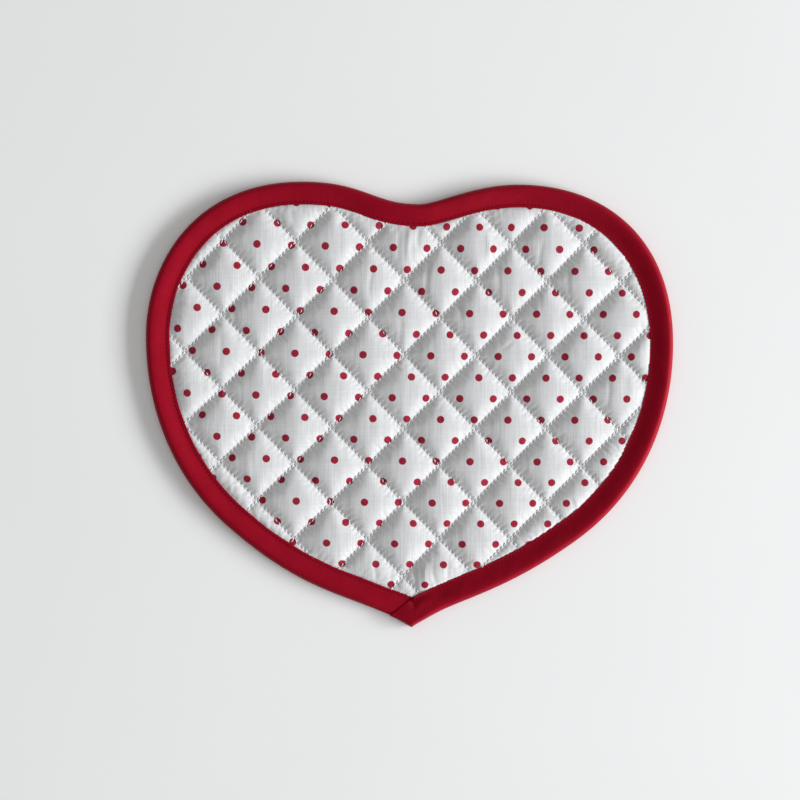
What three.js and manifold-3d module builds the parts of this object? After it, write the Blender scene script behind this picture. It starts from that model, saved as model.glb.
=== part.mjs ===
import * as THREE from 'three';
import { mergeVertices } from 'three/addons/utils/BufferGeometryUtils.js';
import Module from 'manifold-3d';

// Heart-shaped quilted placemat, in millimetres.
// It lies on its back on z = 0 with its printed side up and the cleft of the heart towards +Y.
// Two pieces: the quilted panel and the red tape folded over its edge.

// Knots of the finished edge, in the order the tape is sewn on, clockwise from the cleft.
// into and out are headings in degrees, before and after the reach of the curve each side,
// strip is the width of the tape that shows there, steps the stations up to the next knot.
const EDGE_KNOTS = [
  { name: 'cleft', x: 6.5, y: 133.0, into: 0, out: 0, before: 30, after: 12, strip: 14.6, steps: 9 },
  { name: 'right top', x: 72.5, y: 146.0, into: 0, out: 0, before: 30, after: 57, strip: 15.0, steps: 17 },
  { name: 'right side', x: 175.0, y: 40.5, into: -90, out: -90, before: 71, after: 47, strip: 15.1, steps: 13 },
  { name: 'right foot', x: 111.5, y: -89.5, into: -144, out: -144, before: 56, after: 66, strip: 16.0, steps: 11 },
  { name: 'tip', x: 2.6, y: -147.06, into: -144, out: 153, before: 31, after: 51, strip: 16.1, steps: 12 },
  { name: 'left foot', x: -120.5, y: -81.0, into: 139, out: 139, before: 71, after: 39, strip: 15.9, steps: 13 },
  { name: 'left side', x: -175.0, y: 45.5, into: 90, out: 90, before: 58, after: 46, strip: 15.4, steps: 17 },
  { name: 'left top', x: -71.0, y: 148.0, into: 0, out: 0, before: 74, after: 41, strip: 15.0, steps: 10 },
];
const TIP_KNOT = 4;

// Rows of quilting. across is the distance of a row from the middle of the mat, measured square
// to the row, lean its slope and bow its bend per millimetre. The first and last row of each
// table lie off the mat and only close the outermost cells.
const RISING_ROWS = [
  { across: -199.0, lean: 0, bow: 0 },
  { across: -164.6, lean: -0.02, bow: 0 },
  { across: -129.9, lean: 0.005, bow: 0.00006 },
  { across: -94.4, lean: -0.004, bow: -0.00019 },
  { across: -60.1, lean: 0.002, bow: -0.00011 },
  { across: -25.6, lean: -0.003, bow: -0.00007 },
  { across: 8.8, lean: -0.008, bow: -0.00004 },
  { across: 42.5, lean: -0.009, bow: 0.00005 },
  { across: 76.0, lean: -0.013, bow: 0.00011 },
  { across: 110.4, lean: -0.005, bow: 0 },
  { across: 145.0, lean: 0, bow: 0 },
];
const FALLING_ROWS = [
  { across: -151.0, lean: -0.02, bow: 0 },
  { across: -116.9, lean: -0.02, bow: 0 },
  { across: -82.3, lean: -0.017, bow: 0 },
  { across: -47.7, lean: -0.018, bow: 0 },
  { across: -13.6, lean: -0.021, bow: 0 },
  { across: 20.6, lean: -0.022, bow: 0 },
  { across: 54.7, lean: -0.025, bow: 0 },
  { across: 89.2, lean: -0.026, bow: 0 },
  { across: 122.6, lean: -0.014, bow: 0 },
  { across: 157.6, lean: -0.015, bow: 0 },
  { across: 192.0, lean: 0, bow: 0 },
];

// Heights of the quilted panel
const SEAM_TOP = 2.2;
const PUFF = 3.9;
// How unevenly the cells are filled, and how fast that changes from row to row
const PUFF_SPREAD = 0.08;
const SPREAD_RISING = 2.3;
const SPREAD_FALLING = 1.7;
const PUFF_FULLNESS = 0.62;
const GROOVE_DEPTH = 0.7;
const MID_LEVEL = 1.6;
const LAYER_OVERLAP = 0.2;
// How the panel comes down to the tape: height there, puff left there and width of the slope
const RIM_TOP = 2.85;
const RIM_PUFF = 0.1;
const RIM_EASE = 13;
// Where the steps across one quilted cell fall on its top and on its back
const TOP_STEPS = [0, 0.09, 0.25, 0.5, 0.75, 0.91];
const BACK_STEPS = [0, 0.1, 0.9];

// Margin of the panel that is pressed flat inside the tape
const MARGIN_BOTTOM = 1.2;
const MARGIN_TOP = 2.8;
const MARGIN_INSET = 2.5;
const MARGIN_JOIN = 0.8;
const CLEARANCE = 0.3;
// Levels clear below and above the whole mat, between which cutting prisms run
const BELOW_ALL = -1;
const ABOVE_ALL = 12;
const CROSSING_PASSES = 5;

// Section of the folded tape: inset from the finished edge for a tape 15 mm wide, and height
const TAPE_WIDTH = 15;
const SLOT_BOTTOM = 0.9;
const SLOT_TOP = 3.1;
const SLOT_INSET = 1.6;
const TAPE_SECTION = [
  { inset: 15.0, height: 0.0 },
  { inset: 15.0, height: SLOT_BOTTOM },
  { inset: 1.9, height: SLOT_BOTTOM },
  { inset: 1.5, height: 2.0 },
  { inset: 1.9, height: SLOT_TOP },
  { inset: 15.0, height: SLOT_TOP },
  { inset: 15.0, height: 3.7 },
  { inset: 14.2, height: 4.0 },
  { inset: 13.4, height: 3.8 },
  { inset: 11.4, height: 4.4 },
  { inset: 8.0, height: 4.9 },
  { inset: 4.4, height: 5.2 },
  { inset: 1.9, height: 4.8 },
  { inset: 0.5, height: 3.8 },
  { inset: 0.0, height: 2.5 },
  { inset: 0.4, height: 1.0 },
  { inset: 1.6, height: 0.0 },
];

// End of the tape that laps over its own start at the tip, cut along its folded end
const LAP_RISE = 0.8;
const LAP_BEFORE = 26;
const LAP_AFTER = 24;
const LAP_FULL = 4;
const LAP_SINK = 0.3;
const LAP_MIDDLE = { inset: 8, height: 2.4 };
const LAP_SHOULDER = 4;
const LAP_FOLD_FOOT = { x: -12.8, y: -139.6 };
const LAP_FOLD_HEAD = { x: 1.3, y: -128.3 };
const LAP_REACH = 60;
const MITRE_REACH = 45;
const LAP_SECTION = [
  { inset: 16.0, height: 0.0 },
  { inset: 16.0, height: 3.7 },
  { inset: 14.2, height: 4.0 },
  { inset: 13.4, height: 3.8 },
  { inset: 11.4, height: 4.4 },
  { inset: 8.0, height: 4.9 },
  { inset: 4.4, height: 5.2 },
  { inset: 1.9, height: 4.8 },
  { inset: 0.5, height: 3.8 },
  { inset: 0.0, height: 2.5 },
  { inset: 0.4, height: 1.0 },
  { inset: 1.6, height: 0.0 },
];

const wasm = await Module();
wasm.setup();

function bodyOf(geometry) {
  const bare = new THREE.BufferGeometry();
  bare.setAttribute('position', geometry.getAttribute('position'));
  bare.setIndex(geometry.getIndex());
  const merged = mergeVertices(bare, 1e-4);
  return new wasm.Manifold(new wasm.Mesh({
    numProp: 3,
    vertProperties: new Float32Array(merged.getAttribute('position').array),
    triVerts: new Uint32Array(merged.getIndex().array),
  }));
}

function meshOf(body, name, material) {
  const solid = body.getMesh();
  const geometry = new THREE.BufferGeometry();
  geometry.setAttribute('position', new THREE.BufferAttribute(new Float32Array(solid.vertProperties), 3));
  geometry.setIndex(new THREE.BufferAttribute(new Uint32Array(solid.triVerts), 1));
  geometry.computeVertexNormals();
  const mesh = new THREE.Mesh(geometry, material);
  mesh.name = name;
  return mesh;
}

function heading(degrees) {
  const angle = THREE.MathUtils.degToRad(degrees);
  return new THREE.Vector2(Math.cos(angle), Math.sin(angle));
}

function edgeCurve(index) {
  const from = EDGE_KNOTS[index];
  const to = EDGE_KNOTS[(index + 1) % EDGE_KNOTS.length];
  const start = new THREE.Vector2(from.x, from.y);
  const end = new THREE.Vector2(to.x, to.y);
  const leaving = start.clone().addScaledVector(heading(from.out), from.after);
  const arriving = end.clone().addScaledVector(heading(to.into), -to.before);
  return new THREE.CubicBezierCurve(start, leaving, arriving, end);
}

// Stations round the finished edge: where each is, the way in from it, and the tape width there
function edgeStations() {
  const tip = EDGE_KNOTS[TIP_KNOT];
  const turn = THREE.MathUtils.degToRad(Math.abs(tip.into + 360 - tip.out));
  const mitre = Math.tan(turn / 2);
  const stations = [];
  EDGE_KNOTS.forEach((knot, index) => {
    const next = EDGE_KNOTS[(index + 1) % EDGE_KNOTS.length];
    const curve = edgeCurve(index);
    for (let step = 0; step < knot.steps; step += 1) {
      const part = step / knot.steps;
      const at = curve.getPoint(part);
      const along = step === 0 ? heading(knot.into) : curve.getTangent(part);
      const toTip = Math.hypot(at.x - tip.x, at.y - tip.y);
      const fade = Math.max(0, 1 - toTip / MITRE_REACH) ** 2;
      const after = index === TIP_KNOT && step > 0;
      const slide = mitre * fade * (after ? 1 : -1);
      const inward = new THREE.Vector2(along.y, -along.x).addScaledVector(along, slide);
      const strip = THREE.MathUtils.lerp(knot.strip, next.strip, part);
      const beyond = toTip * (after ? 1 : -1);
      stations.push({ at, inward, strip, beyond, near: toTip });
    }
  });
  return stations;
}

const STATIONS = edgeStations();

function insetPoint(station, inset) {
  return station.at.clone().addScaledVector(station.inward, inset);
}

function insetPrism(insetOf, bottom, top) {
  const shape = new THREE.Shape(STATIONS.map((station) => insetPoint(station, insetOf(station))));
  const prism = new THREE.ExtrudeGeometry(shape, { depth: top - bottom, bevelEnabled: false });
  prism.translate(0, 0, bottom);
  return bodyOf(prism);
}

function distanceIn(x, y) {
  let nearest = Infinity;
  STATIONS.forEach((station, index) => {
    const next = STATIONS[(index + 1) % STATIONS.length];
    const runX = next.at.x - station.at.x;
    const runY = next.at.y - station.at.y;
    const reach = ((x - station.at.x) * runX + (y - station.at.y) * runY) / (runX * runX + runY * runY);
    const part = THREE.MathUtils.clamp(reach, 0, 1);
    const gap = Math.hypot(x - station.at.x - runX * part, y - station.at.y - runY * part);
    nearest = Math.min(nearest, gap);
  });
  return nearest;
}

// A row between two stitched rows, part of the way from the one to the other
function rowAcross(rows, index, part, along) {
  const low = rows[index];
  const high = rows[Math.min(index + 1, rows.length - 1)];
  const lowAt = low.across + low.lean * along + low.bow * along * along;
  const highAt = high.across + high.lean * along + high.bow * along * along;
  return THREE.MathUtils.lerp(lowAt, highAt, part);
}

// Where a rising and a falling row cross
function rowCrossing(rising, risingPart, falling, fallingPart) {
  let alongRising = rowAcross(FALLING_ROWS, falling, fallingPart, 0);
  let alongFalling = 0;
  for (let pass = 0; pass < CROSSING_PASSES; pass += 1) {
    alongFalling = rowAcross(RISING_ROWS, rising, risingPart, alongRising);
    alongRising = rowAcross(FALLING_ROWS, falling, fallingPart, alongFalling);
  }
  const x = (alongRising + alongFalling) * Math.SQRT1_2;
  const y = (alongRising - alongFalling) * Math.SQRT1_2;
  return new THREE.Vector2(x, y);
}

function puffOf(rising, risingPart, falling, fallingPart) {
  const hump = (part) => (4 * part * (1 - part)) ** PUFF_FULLNESS;
  const uneven = 1 + PUFF_SPREAD * Math.sin(SPREAD_RISING * rising + SPREAD_FALLING * falling);
  return PUFF * uneven * hump(risingPart) * hump(fallingPart);
}

// A slab whose top and bottom follow the rows of quilting
function quiltedSlab(steps, heightAt) {
  const perCell = steps.length;
  const across = (RISING_ROWS.length - 1) * perCell;
  const down = (FALLING_ROWS.length - 1) * perCell;
  const slab = new THREE.BoxGeometry(1, 1, 1, across, down, 1);
  const points = slab.getAttribute('position');
  for (let index = 0; index < points.count; index += 1) {
    const column = Math.round((points.getX(index) + 0.5) * across);
    const line = Math.round((points.getY(index) + 0.5) * down);
    const rising = Math.floor(column / perCell);
    const falling = Math.floor(line / perCell);
    const risingPart = steps[column % perCell];
    const fallingPart = steps[line % perCell];
    const place = rowCrossing(rising, risingPart, falling, fallingPart);
    const puff = puffOf(rising, risingPart, falling, fallingPart);
    points.setXYZ(index, place.x, place.y, heightAt(points.getZ(index) > 0, place, puff));
  }
  return bodyOf(slab);
}

function quiltedPanel() {
  const face = quiltedSlab(TOP_STEPS, (upper, place, puff) => {
    if (!upper) return MID_LEVEL - LAYER_OVERLAP;
    const inside = distanceIn(place.x, place.y) - TAPE_WIDTH;
    const ease = THREE.MathUtils.smoothstep(inside, 0, RIM_EASE);
    const seam = THREE.MathUtils.lerp(RIM_TOP, SEAM_TOP, ease);
    return seam + puff * THREE.MathUtils.lerp(RIM_PUFF, 1, ease);
  });
  const back = quiltedSlab(BACK_STEPS, (upper, place, puff) => {
    if (upper) return MID_LEVEL;
    return puff > 0 ? 0 : GROOVE_DEPTH;
  });
  const core = insetPrism((station) => station.strip + CLEARANCE, BELOW_ALL, ABOVE_ALL);
  const plate = insetPrism(() => MARGIN_INSET, MARGIN_BOTTOM, MARGIN_TOP);
  const middle = insetPrism((station) => station.strip + CLEARANCE + MARGIN_JOIN, 0, ABOVE_ALL);
  return face.add(back).intersect(core).add(plate.subtract(middle));
}

function tapeInset(station, inset) {
  return inset * station.strip / TAPE_WIDTH;
}

function tapeLoop() {
  const loop = new THREE.TorusGeometry(2, 1, TAPE_SECTION.length, STATIONS.length);
  const points = loop.getAttribute('position');
  const rowLength = STATIONS.length + 1;
  for (let index = 0; index < points.count; index += 1) {
    const station = STATIONS[(index % rowLength) % STATIONS.length];
    const corner = TAPE_SECTION[Math.floor(index / rowLength) % TAPE_SECTION.length];
    const place = insetPoint(station, tapeInset(station, corner.inset));
    points.setXYZ(index, place.x, place.y, corner.height);
  }
  return bodyOf(loop);
}

// How far the lapped end stands off the tape: full over the start, none further back
function lapRise(station) {
  const fade = THREE.MathUtils.smoothstep(station.beyond, -LAP_BEFORE, -LAP_FULL);
  return THREE.MathUtils.lerp(-LAP_SINK, LAP_RISE, fade);
}

function lappedEnd() {
  const around = STATIONS.filter((station) => station.beyond > -LAP_BEFORE && station.beyond < LAP_AFTER);
  const corners = LAP_SECTION.length;
  const sleeve = new THREE.CylinderGeometry(1, 1, 1, corners, around.length - 1);
  const points = sleeve.getAttribute('position');
  for (let index = 0; index < points.count; index += 1) {
    const level = Math.round((0.5 - points.getY(index)) * (around.length - 1));
    const station = around[level];
    const turn = Math.atan2(points.getX(index), points.getZ(index)) / (2 * Math.PI);
    const central = Math.hypot(points.getX(index), points.getZ(index)) < 0.5;
    const corner = central ? LAP_MIDDLE : LAP_SECTION[Math.round((turn + 1) * corners) % corners];
    const rise = lapRise(station);
    const outside = Math.max(0, 1 - corner.inset / LAP_MIDDLE.inset);
    const spread = rise * outside * Math.max(0, 1 - station.near / LAP_AFTER);
    const place = insetPoint(station, tapeInset(station, corner.inset) - spread);
    const lift = central ? 0 : rise * Math.min(1, corner.height / LAP_SHOULDER);
    points.setXYZ(index, place.x, place.y, corner.height + lift);
  }
  const foot = new THREE.Vector2(LAP_FOLD_FOOT.x, LAP_FOLD_FOOT.y);
  const head = new THREE.Vector2(LAP_FOLD_HEAD.x, LAP_FOLD_HEAD.y);
  const run = head.clone().sub(foot).normalize();
  const side = new THREE.Vector2(run.y, -run.x).multiplyScalar(LAP_REACH);
  const low = foot.clone().addScaledVector(run, -LAP_REACH);
  const high = head.clone().addScaledVector(run, LAP_REACH);
  const outline = new THREE.Shape([low, low.clone().add(side), high.clone().add(side), high]);
  const keep = new THREE.ExtrudeGeometry(outline, { depth: ABOVE_ALL, bevelEnabled: false });
  return bodyOf(sleeve).intersect(bodyOf(keep));
}

function foldedTape() {
  const slot = insetPrism((station) => tapeInset(station, SLOT_INSET), SLOT_BOTTOM, SLOT_TOP);
  const opening = insetPrism((station) => station.strip, BELOW_ALL, ABOVE_ALL);
  return tapeLoop().add(lappedEnd().subtract(slot).subtract(opening));
}

const printedCotton = new THREE.MeshStandardMaterial({ color: 0xe7e7ea, roughness: 0.9, metalness: 0 });
printedCotton.name = 'printed_cotton';
const redCotton = new THREE.MeshStandardMaterial({ color: 0xa01226, roughness: 0.7, metalness: 0 });
redCotton.name = 'red_cotton';

const placemat = new THREE.Group();
placemat.name = 'placemat';
placemat.add(meshOf(quiltedPanel(), 'quilted_panel', printedCotton));
placemat.add(meshOf(foldedTape(), 'binding', redCotton));

export default placemat;
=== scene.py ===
"""Looks of the heart-shaped quilted placemat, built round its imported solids.

The mat lies on its back on z = 0, printed side up, with the cleft of the heart towards +Y.
Lengths in the tables are in millimetres and become metres when a mesh is made.
"""

import math
from collections import namedtuple

import bmesh
import bpy
import numpy as np
from mathutils import Matrix, Vector, noise
from mathutils.bvhtree import BVHTree
from mathutils.kdtree import KDTree


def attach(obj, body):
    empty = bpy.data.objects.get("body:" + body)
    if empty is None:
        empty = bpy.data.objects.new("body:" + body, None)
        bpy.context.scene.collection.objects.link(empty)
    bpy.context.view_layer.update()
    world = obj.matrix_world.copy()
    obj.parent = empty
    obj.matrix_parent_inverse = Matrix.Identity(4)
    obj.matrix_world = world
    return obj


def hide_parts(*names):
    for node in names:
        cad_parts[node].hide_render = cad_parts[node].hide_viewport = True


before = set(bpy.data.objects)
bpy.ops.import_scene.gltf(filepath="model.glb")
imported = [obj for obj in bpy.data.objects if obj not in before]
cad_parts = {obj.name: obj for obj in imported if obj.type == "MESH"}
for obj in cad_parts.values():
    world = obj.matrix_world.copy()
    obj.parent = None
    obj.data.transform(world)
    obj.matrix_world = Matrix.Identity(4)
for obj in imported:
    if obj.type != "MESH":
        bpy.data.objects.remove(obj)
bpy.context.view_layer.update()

MM = 0.001
HALF_SQUARE = math.sqrt(0.5)
TURN = 2 * math.pi


def smooth(value, low, high):
    t = np.clip((value - low) / (high - low), 0, 1)
    return t * t * (3 - 2 * t)


def direction(degrees):
    return np.array([math.cos(math.radians(degrees)), math.sin(math.radians(degrees))])


def nearness(place, middle, reach):
    """1 at the middle, fading softly to 0 past its reach."""
    return np.exp(-((place - np.array(middle)) ** 2).sum(-1) / reach**2)


def drawn(place, pulls):
    """Places drawn aside by the sewing. A pull is its middle, how far it draws and its reach."""
    for middle, pull, reach in pulls:
        place = place + np.array(pull) * nearness(place, middle, reach)[..., None]
    return place


# ---------------------------------------------------------------- the finished edge

# Knots of the edge, clockwise from the cleft: headings into and out of each in degrees,
# reach of the curve before and after it, and the width of the tape that shows there
Knot = namedtuple("Knot", "name x y into out before after strip")
EDGE_KNOTS = [
    Knot("cleft", 6.5, 133.0, 0, 0, 30, 12, 14.6),
    Knot("right top", 72.5, 146.0, 0, 0, 30, 57, 15.0),
    Knot("right side", 175.0, 40.5, -90, -90, 71, 47, 15.1),
    Knot("right foot", 111.5, -89.5, -144, -144, 56, 66, 16.0),
    Knot("tip", 2.6, -147.06, -144, 153, 31, 51, 16.1),
    Knot("left foot", -120.5, -81.0, 139, 139, 71, 39, 15.9),
    Knot("left side", -175.0, 45.5, 90, 90, 58, 46, 15.4),
    Knot("left top", -71.0, 148.0, 0, 0, 74, 41, 15.0),
]
TIP = next(knot for knot in EDGE_KNOTS if knot.name == "tip")
# where the tape shows wider than between its knots: middle, by how much and its reach
WIDER_STRIPS = [((148, 100), 1.1, 40), ((-146, 105), 0.7, 45)]
MITRE_REACH = 45
RIB_SPACING = 1.03
CURVE_SAMPLES = 400


def edge_curve(knot, after, part):
    """Points and unit headings along the edge from one knot to the next."""
    a, d = np.array([knot.x, knot.y]), np.array([after.x, after.y])
    b = a + knot.after * direction(knot.out)
    c = d - after.before * direction(after.into)
    t = part[:, None]
    at = a * (1 - t) ** 3 + 3 * b * t * (1 - t) ** 2 + 3 * c * t**2 * (1 - t) + d * t**3
    run = (b - a) * (1 - t) ** 2 + 2 * (c - b) * t * (1 - t) + (d - c) * t**2
    return at, run / np.linalg.norm(run, axis=1)[:, None]


def even_parts(knot, after, spacing):
    """Parts of a curve that lie evenly along its length."""
    fine = np.linspace(0, 1, CURVE_SAMPLES)
    at, _ = edge_curve(knot, after, fine)
    length = np.concatenate([[0], np.cumsum(np.linalg.norm(np.diff(at, axis=0), axis=1))])
    steps = round(length[-1] / spacing)
    return np.interp(np.arange(steps) / steps * length[-1], length, fine)


def edge_ribs(spacing):
    """Ribs across the tape, clockwise from the tip: where each starts, its way in and its width."""
    mitre = math.tan(math.radians(TIP.into + 360 - TIP.out) / 2)
    first = EDGE_KNOTS.index(TIP)
    order = [EDGE_KNOTS[(first + k) % len(EDGE_KNOTS)] for k in range(len(EDGE_KNOTS) + 1)]
    places, inwards, widths = [], [], []
    for knot, after in zip(order, order[1:]):
        part = even_parts(knot, after, spacing)
        at, along = edge_curve(knot, after, part)
        near = np.linalg.norm(at - [TIP.x, TIP.y], axis=1)
        slide = mitre * np.clip(1 - near / MITRE_REACH, 0, 1) ** 2
        slide *= np.where(knot is TIP, 1, -1)
        wider = sum(more * nearness(at, middle, reach) for middle, more, reach in WIDER_STRIPS)
        places.append(at)
        inwards.append(np.stack([along[:, 1], -along[:, 0]], 1) + along * slide[:, None])
        widths.append(knot.strip + (after.strip - knot.strip) * part + wider)
    return np.concatenate(places), np.concatenate(inwards), np.concatenate(widths)


EDGE_AT, EDGE_IN, EDGE_STRIP = edge_ribs(RIB_SPACING)


def distance_in():
    """A function that measures points against the edge.

    It gives how far they lie inside it, the width of the tape nearest to each, and its rib.
    """
    tree = KDTree(len(EDGE_AT))
    for index, (x, y) in enumerate(EDGE_AT):
        tree.insert((x, y, 0), index)
    tree.balance()
    ahead = np.roll(EDGE_AT, -1, axis=0) - EDGE_AT
    ahead /= np.linalg.norm(ahead, axis=1)[:, None]

    def measure(x, y):
        nearest = np.array([tree.find((a, b, 0))[1] for a, b in zip(x, y)])
        best = np.full(len(x), np.inf)
        side = np.ones(len(x))
        for index in (nearest, (nearest - 1) % len(EDGE_AT)):
            off = np.stack([x, y], 1) - EDGE_AT[index]
            along = np.clip((off * ahead[index]).sum(1), 0, RIB_SPACING)
            gap = off - ahead[index] * along[:, None]
            far = np.linalg.norm(gap, axis=1)
            right = off[:, 0] * ahead[index][:, 1] - off[:, 1] * ahead[index][:, 0]
            side = np.where(far < best, np.where(right >= 0, 1, -1), side)
            best = np.minimum(best, far)
        return best * side, EDGE_STRIP[nearest], nearest

    return measure


inset_of = distance_in()

# ---------------------------------------------------------------- the rows of quilting

# across is how far a row lies from the middle of the mat, lean its slope and bow its bend per
# millimetre. The first and last row of each table lie off the mat.
RISING_ROWS = np.array([  # across, lean, bow
    (-199.0, 0, 0),
    (-164.6, -0.02, 0),
    (-129.9, 0.005, 0.00006),
    (-94.4, -0.004, -0.00019),
    (-60.1, 0.002, -0.00011),
    (-25.6, -0.003, -0.00007),
    (8.8, -0.008, -0.00004),
    (42.5, -0.009, 0.00005),
    (76.0, -0.013, 0.00011),
    (110.4, -0.005, 0),
    (145.0, 0, 0),
])
FALLING_ROWS = np.array([  # across, lean, bow
    (-151.0, -0.02, 0),
    (-116.9, -0.02, 0),
    (-82.3, -0.017, 0),
    (-47.7, -0.018, 0),
    (-13.6, -0.021, 0),
    (20.6, -0.022, 0),
    (54.7, -0.025, 0),
    (89.2, -0.026, 0),
    (122.6, -0.014, 0),
    (157.6, -0.015, 0),
    (192.0, 0, 0),
])
CELLS = len(RISING_ROWS) - 1
STITCHES_PER_CELL = 11
STITCH_PITCH = 3.13
STEPS_PER_STITCH = 3
FACE_STEPS = STITCHES_PER_CELL * STEPS_PER_STITCH
BACK_STEPS = STITCHES_PER_CELL
CROSSING_ROUNDS = 6
ROW_TOLERANCE = 1e-3


def row_across(rows, place, along):
    """How far a row lies from the middle of the mat. place counts rows, and may lie between two."""
    low = np.clip(np.floor(place).astype(int), 0, len(rows) - 2)
    part = place - low
    line = lambda k: rows[k, 0] + rows[k, 1] * along + rows[k, 2] * along**2
    return (1 - part) * line(low) + part * line(low + 1)


def row_crossing(rising, falling):
    """x and y where a rising and a falling row cross. Either may lie between two stitched ones."""
    along_rising = row_across(FALLING_ROWS, falling, 0 * falling)
    for _ in range(CROSSING_ROUNDS):
        along_falling = row_across(RISING_ROWS, rising, along_rising)
        along_rising = row_across(FALLING_ROWS, falling, along_falling)
    x = (along_rising + along_falling) * HALF_SQUARE
    y = (along_rising - along_falling) * HALF_SQUARE
    return x, y


def on_row(place, steps):
    """Where a place is whole, counted in parts of a cell."""
    return np.abs(place * steps - np.round(place * steps)) < ROW_TOLERANCE


# ---------------------------------------------------------------- small helpers


def points_of(mesh):
    co = np.empty(len(mesh.vertices) * 3)
    mesh.vertices.foreach_get("co", co)
    return co.reshape(-1, 3)


def set_points(mesh, points):
    mesh.vertices.foreach_set("co", np.asarray(points, float).ravel())
    mesh.update()


def mesh_of(bm, name):
    mesh = bpy.data.meshes.new(name)
    bm.to_mesh(mesh)
    bm.free()
    return mesh


def piece_of(mesh, name, material):
    mesh.polygons.foreach_set("use_smooth", [True] * len(mesh.polygons))
    mesh.materials.append(material)
    piece = bpy.data.objects.new(name, mesh)
    bpy.context.scene.collection.objects.link(piece)
    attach(piece, "root")
    return piece


def add_map(mesh, name, across, up):
    """A UV map from one pair of values for each vertex."""
    corner = np.empty(len(mesh.loops), int)
    mesh.loops.foreach_get("vertex_index", corner)
    layer = mesh.uv_layers.new(name=name)
    values = np.stack([across[corner], up[corner]], 1)
    layer.data.foreach_set("uv", values.ravel().astype(np.float32))


# Soft unevenness: its size across and up, its seed and its height. It hardly changes through
# the thickness of the cloth.
Cloud = namedtuple("Cloud", "across up seed height")
CLOUD_THROUGH = 1e3


def cloud(points, form):
    scale = [1 / size for size in (form.across, form.up, CLOUD_THROUGH)]
    return form.height * np.array([
        noise.noise((x * scale[0] + form.seed, y * scale[1], z * scale[2])) for x, y, z in points])


# ---------------------------------------------------------------- the quilted panel

# Heights of the printed face: along its rows, along the tape, and the least it may have
SEAM_TOP = 2.2
RIM_TOP = 2.85
LEAST_TOP = 1.4
# Rise of the filling between the rows, and the share of it that is there before it swells.
# The spread makes the cells uneven, and the rise eases off towards the tape.
PUFF = 4.2
SEWN_SHARE = 0.72
PUFF_SPREAD = 0.08
SPREAD_RISING = 2.3
SPREAD_FALLING = 1.7
PUFF_FULLNESS = 0.78
RIM_PUFF = 0.35
RIM_EASE = 9
# The margin that the tape holds
MARGIN_INSET = 2.6
MARGIN_BOTTOM = 1.2
MARGIN_TOP = 2.8
PRESSED_PAST_TAPE = 0.6
# Grooves under the rows on the back
GROOVE_DEPTH = 0.7
GROOVE_FULLNESS = 1.6
# Stitch holes, the hold of the thread between them, and the pleats beside the rows
HOLE_DEPTH = 0.42
THREAD_HOLD = 0.3
PLEAT_HEIGHT = 0.26
PLEAT_REACH = 1.3
PLEAT_TURN = 0.9
# Unevenness of the face, which clears the rows by these parts of a cell, and the tape by the
# millimetres between which it grows
RIPPLE = Cloud(2.4, 2.4, 7, 0.12)
STREAKS = [Cloud(3.4, 22, 31, 0.08), Cloud(1.9, 11, 53, 0.04), Cloud(6.5, 26, 71, 0.14)]
CREASE_CLEARS_ROW = 0.09
STREAK_CLEARS_ROW = 0.06
FREE_PAST_TAPE = (0.4, 3.0)
BACK_PAST_TAPE = (-0.5, 4)

# Creases pressed into the cloth, as they lie in the photo: middle, heading in degrees, length,
# width of the fold and height, which is negative in a trough
Crease = namedtuple("Crease", "x y heading length width height")
CREASES = [
    Crease(-7.3, 105.5, 90, 23, 2.6, -0.35),
    Crease(-0.6, 106.5, 89, 25, 2.8, 0.55),
    Crease(5.6, 110.0, 92, 14, 2.4, -0.45),
    Crease(11.9, 84.3, 88, 30, 2.8, -0.45),
    Crease(-25.9, 81.7, 86, 25, 3.0, -0.40),
    Crease(-6.0, 49.2, 90, 20, 2.8, -0.30),
    Crease(33.8, 62.4, 90, 14, 2.6, -0.30),
    Crease(52.4, 105.5, 90, 20, 2.8, 0.40),
    Crease(86.9, 98.9, 88, 20, 2.8, -0.35),
    Crease(105.5, 81.0, 90, 23, 3.0, -0.35),
    Crease(59.0, 81.7, 90, 25, 3.0, -0.30),
    Crease(-116.1, 57.8, 92, 34, 3.4, -0.28),
    Crease(-125.4, 35.9, 90, 24, 3.2, -0.22),
    Crease(-112.1, 6.0, 88, 20, 3.0, -0.14),
    Crease(132.0, 6.0, 90, 20, 3.0, -0.30),
    Crease(-22.6, -111.4, 92, 17, 2.4, -0.35),
    Crease(-11.9, -111.4, 88, 17, 2.6, -0.40),
    Crease(4.0, -113.4, 90, 20, 2.2, -0.50),
    Crease(10.6, -113.4, 91, 20, 2.4, 0.50),
    Crease(15.9, -113.4, 92, 20, 2.2, -0.40),
    Crease(25.2, -110.1, 93, 17, 2.6, -0.30),
    Crease(-77.6, 124.8, 95, 11, 2.4, -0.30),
    Crease(65.0, 39.2, 34, 12, 2.0, -0.30),
    Crease(21.2, -0.6, 55, 8, 1.8, -0.25),
    Crease(20.6, -47.0, 3, 13, 1.8, 0.18),
    Crease(20.6, -76.9, -2, 13, 1.8, 0.18),
]
CREASE_WANDER = 0.4
WANDER_TURN = 3

# Cloth simulation of the printed face: it runs in a mesh ten times life size, and these are the
# most that a point may move
SIM_SCALE = 10
SIM_FRAMES = 20
MOST_RISE = 1.5
MOST_SHIFT = 0.7


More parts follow.
